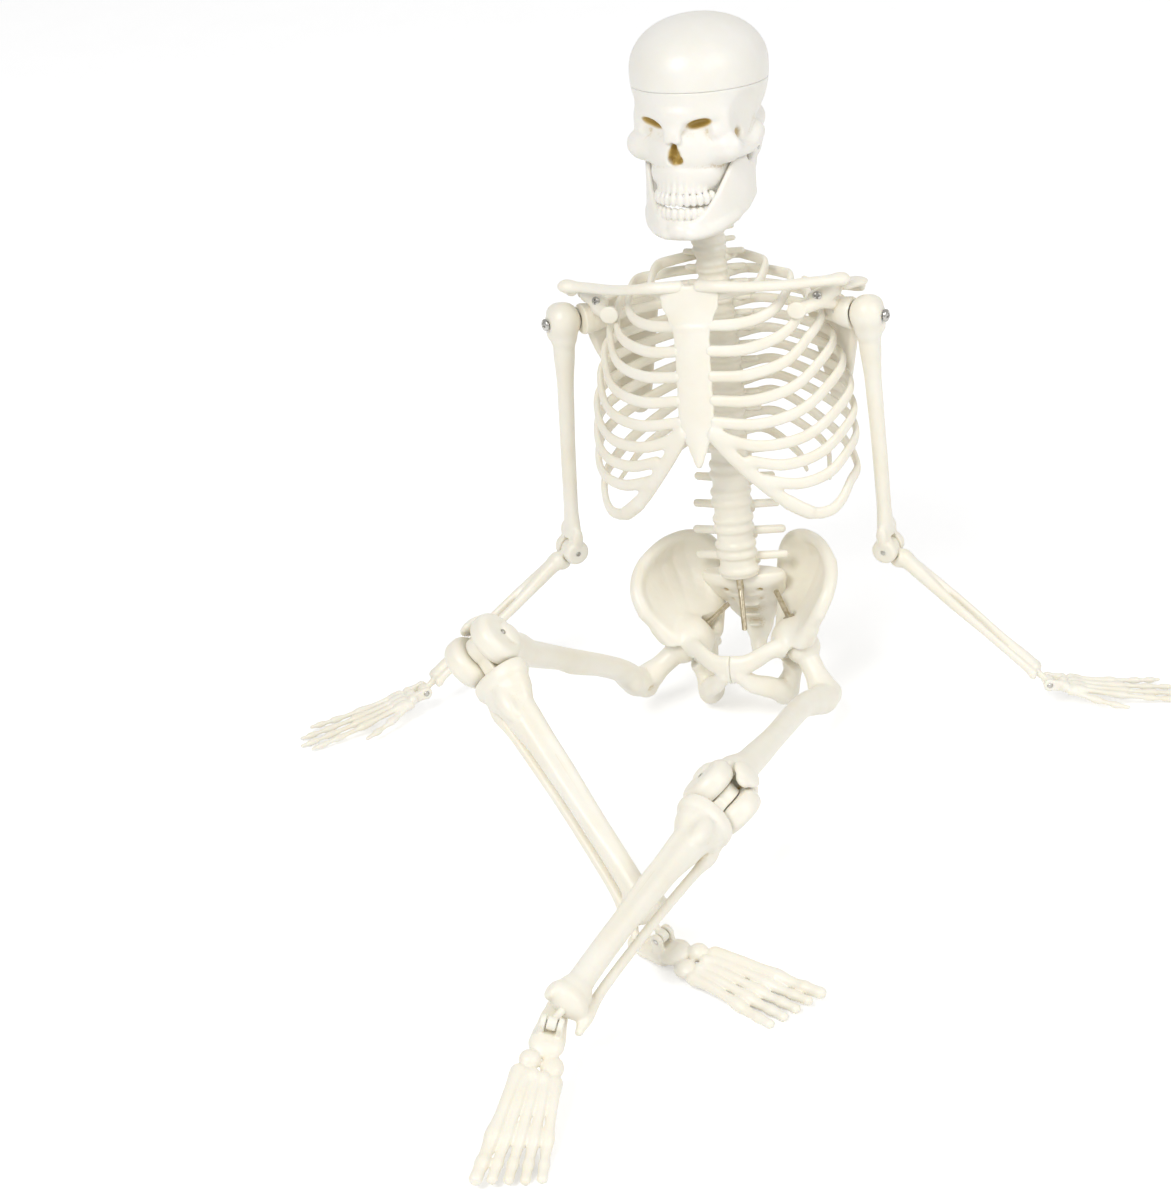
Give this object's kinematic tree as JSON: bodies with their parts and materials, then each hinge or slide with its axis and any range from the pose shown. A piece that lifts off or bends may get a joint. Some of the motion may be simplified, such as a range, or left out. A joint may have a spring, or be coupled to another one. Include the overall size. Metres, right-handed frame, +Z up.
{
  "type": "human skeleton model",
  "caption": "Small articulated plastic human skeleton seated cross-legged, with turning head, lift-off skull cap, opening jaw and pinned limbs",
  "frame": {"origin": "middle of the seated figure's footprint, at the level it sits on", "axes": "+Z up; -Y is in front of the figure; +X is to the figure's left"},
  "size_m": [0.281, 0.3062, 0.2179],
  "materials": {
    "bone": "ivory PVC moulding with an ochre wash in the hollows, satin gloss",
    "skull": "paler ivory PVC moulding, satin gloss",
    "steel": "nickel-plated steel, bright",
    "brass": "turned brass, lightly tarnished"
  },
  "bodies": {
    "trunk": {"vertebral_column": "bone", "sacrum": "bone", "sternum": "bone", "stand_bolt": "brass", "neck_bolt": "brass", "neck_nut": "brass", "ribs_right": "bone", "floating_ribs_right": "bone", "hip_bone_right": "bone", "scapula_right": "bone", "clavicle_right": "bone", "shoulder_screw_right": "steel", "ribs_left": "bone", "floating_ribs_left": "bone", "hip_bone_left": "bone", "scapula_left": "bone", "clavicle_left": "bone", "shoulder_screw_left": "steel"},
    "head": {"cranium": "skull", "jaw_pins": "steel"},
    "cap": {"skull_cap": "skull"},
    "jaw": {"mandible": "skull"},
    "upper_arm_right": {"humerus_right": "bone", "elbow_pin_right": "steel"},
    "forearm_right": {"radius_ulna_right": "bone"},
    "hand_right": {"hand_right": "bone", "wrist_pin_right": "steel"},
    "thigh_right": {"femur_right": "bone", "patella_right": "bone", "hip_stud_right": "brass", "hip_nut_right": "brass", "knee_pin_right": "steel"},
    "shin_right": {"tibia_fibula_right": "bone"},
    "foot_right": {"foot_right": "bone", "ankle_pin_right": "steel"},
    "upper_arm_left": {"humerus_left": "bone", "elbow_pin_left": "steel"},
    "forearm_left": {"radius_ulna_left": "bone"},
    "hand_left": {"hand_left": "bone", "wrist_pin_left": "steel"},
    "thigh_left": {"femur_left": "bone", "patella_left": "bone", "hip_stud_left": "brass", "hip_nut_left": "brass", "knee_pin_left": "steel"},
    "shin_left": {"tibia_fibula_left": "bone"},
    "foot_left": {"foot_left": "bone", "ankle_pin_left": "steel"}
  },
  "joints": [
    {"name": "head_turn", "type": "hinge", "parent": "trunk", "child": "head", "pos_m": [0.00126, 0.12375, 0.17689], "axis": [0.0203, 0.1479, 0.9888], "range_deg": [-60, 60]},
    {"name": "cap_lift", "type": "slide", "parent": "head", "child": "cap", "axis": [0.0203, 0.1479, 0.9888], "range_m": [0, 0.03]},
    {"name": "jaw_open", "type": "hinge", "parent": "head", "child": "jaw", "pos_m": [0.00097, 0.12311, 0.1776], "axis": [0.924, -0.3805, 0.038], "range_deg": [0, 24]},
    {"name": "shoulder_right", "type": "hinge", "parent": "trunk", "child": "upper_arm_right", "pos_m": [-0.04625, 0.12452, 0.12299], "axis": [0.8841, 0.4663, -0.0294], "range_deg": [-12, 120]},
    {"name": "elbow_right", "type": "hinge", "parent": "upper_arm_right", "child": "forearm_right", "pos_m": [-0.05033, 0.12721, 0.04314], "axis": [-0.4645, 0.884, 0.0535], "range_deg": [-56, 70]},
    {"name": "wrist_right", "type": "hinge", "parent": "forearm_right", "child": "hand_right", "pos_m": [-0.10049, 0.10296, 0.00832], "axis": [0.3875, -0.9219, 0], "range_deg": [-60, 60]},
    {"name": "hip_right", "type": "hinge", "parent": "trunk", "child": "thigh_right", "pos_m": [-0.01679, 0.09703, 0.02085], "axis": [0.7824, 0.3298, 0.5282], "range_deg": [-3, 100]},
    {"name": "knee_right", "type": "hinge", "parent": "thigh_right", "child": "shin_right", "pos_m": [-0.07228, 0.01092, 0.0695], "axis": [0.732, -0.0903, 0.6752], "range_deg": [-12, 20]},
    {"name": "ankle_right", "type": "hinge", "parent": "shin_right", "child": "foot_right", "pos_m": [-0.02551, -0.05393, 0.01011], "axis": [0.6306, 0.7516, 0.1935], "range_deg": [-60, 8]},
    {"name": "shoulder_left", "type": "hinge", "parent": "trunk", "child": "upper_arm_left", "pos_m": [0.04691, 0.0969, 0.12973], "axis": [0.902, -0.4311, 0.022], "range_deg": [-12, 120]},
    {"name": "elbow_left", "type": "hinge", "parent": "upper_arm_left", "child": "forearm_left", "pos_m": [0.05, 0.09929, 0.04983], "axis": [-0.4299, -0.9018, -0.0436], "range_deg": [-50, 75]},
    {"name": "wrist_left", "type": "hinge", "parent": "forearm_left", "child": "hand_left", "pos_m": [0.09716, 0.07879, 0.00893], "axis": [-0.0593, 0.9982, 0], "range_deg": [-60, 60]},
    {"name": "hip_left", "type": "hinge", "parent": "trunk", "child": "thigh_left", "pos_m": [0.02109, 0.0858, 0.0236], "axis": [-0.3625, 0.5888, 0.7224], "range_deg": [0, 60]},
    {"name": "knee_left", "type": "hinge", "parent": "thigh_left", "child": "shin_left", "pos_m": [-0.0062, -0.02365, 0.03525], "axis": [0.6404, -0.2375, -0.7304], "range_deg": [-20, 9]},
    {"name": "ankle_left", "type": "hinge", "parent": "shin_left", "child": "foot_left", "pos_m": [-0.05416, -0.10981, 0.02122], "axis": [0.9451, -0.1637, -0.2828], "range_deg": [-60, 6]}
  ]
}
